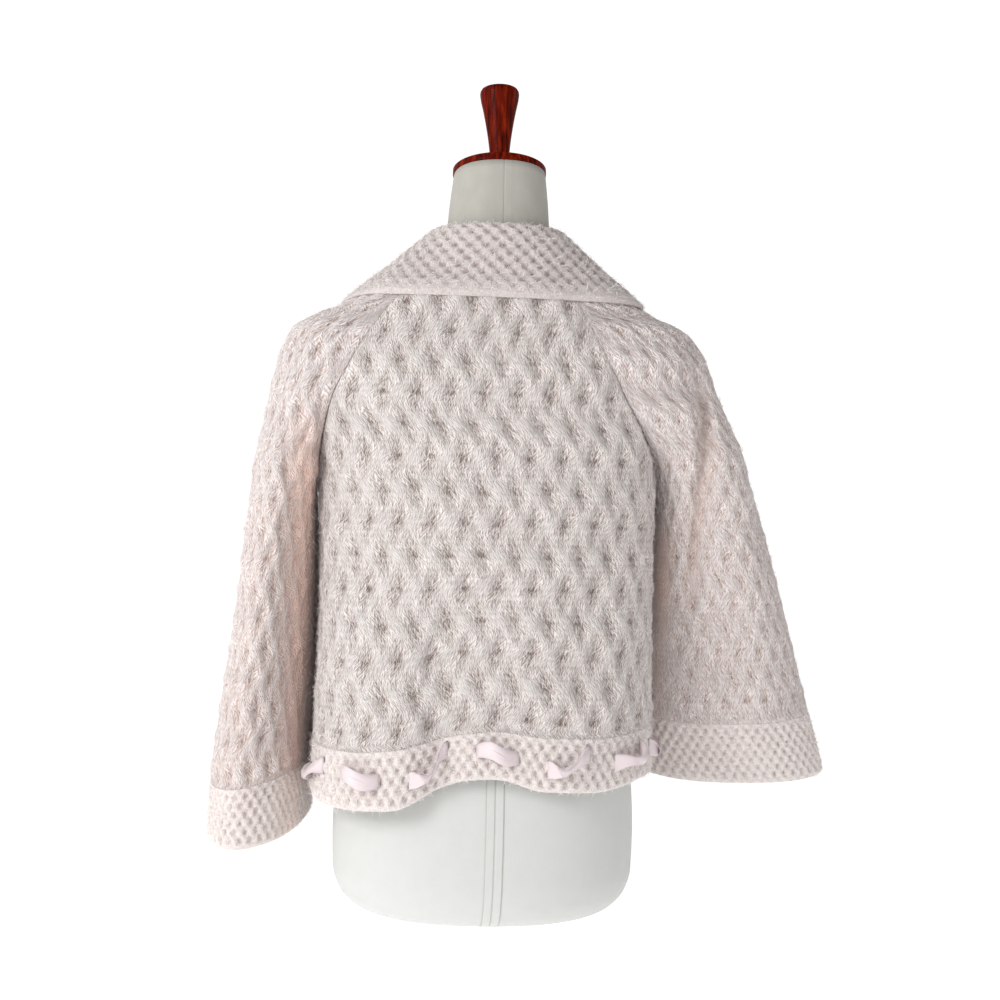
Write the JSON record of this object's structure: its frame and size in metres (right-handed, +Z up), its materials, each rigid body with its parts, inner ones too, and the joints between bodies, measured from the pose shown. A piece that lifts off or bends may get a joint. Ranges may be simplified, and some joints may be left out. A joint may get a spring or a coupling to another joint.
{
  "type": "cable knit cardigan on dress form",
  "caption": "Short cable knit cardigan with raglan bell sleeves, folded collar and ribbon-threaded hem, open at the front, resting on a limbless linen dress form with a turned wood knob.",
  "frame": {"origin": "centre of the dress form's flat foot, on the form's axis", "axes": "+Z up along the form, +X towards the wearer's left, +Y towards the garment's back"},
  "size_m": [0.6631, 0.2962, 0.8644],
  "materials": {
    "mohair_cable_knit": "brushed mohair yarn knitted in a woven cable",
    "mohair_seed_stitch": "brushed mohair yarn knitted in seed stitch",
    "satin_ribbon": "woven satin, soft sheen",
    "linen_cover": "plain woven linen stretched over the form",
    "lacquered_wood": "turned, stained dark red and lacquered"
  },
  "bodies": {
    "root": {"body_back": "mohair_cable_knit", "collar": "mohair_seed_stitch", "cuff_left": "mohair_seed_stitch", "cuff_right": "mohair_seed_stitch", "form_body": "linen_cover", "front_band_left": "mohair_seed_stitch", "front_band_right": "mohair_seed_stitch", "front_left": "mohair_cable_knit", "front_right": "mohair_cable_knit", "hem_back": "mohair_seed_stitch", "hem_front_left": "mohair_seed_stitch", "hem_front_right": "mohair_seed_stitch", "neck_cap": "lacquered_wood", "neck_knob": "lacquered_wood", "ribbon_01": "satin_ribbon", "ribbon_02": "satin_ribbon", "ribbon_03": "satin_ribbon", "ribbon_04": "satin_ribbon", "ribbon_05": "satin_ribbon", "ribbon_06": "satin_ribbon", "ribbon_07": "satin_ribbon", "ribbon_08": "satin_ribbon", "ribbon_09": "satin_ribbon", "ribbon_10": "satin_ribbon", "sleeve_left": "mohair_cable_knit", "sleeve_right": "mohair_cable_knit"}
  },
  "joints": []
}
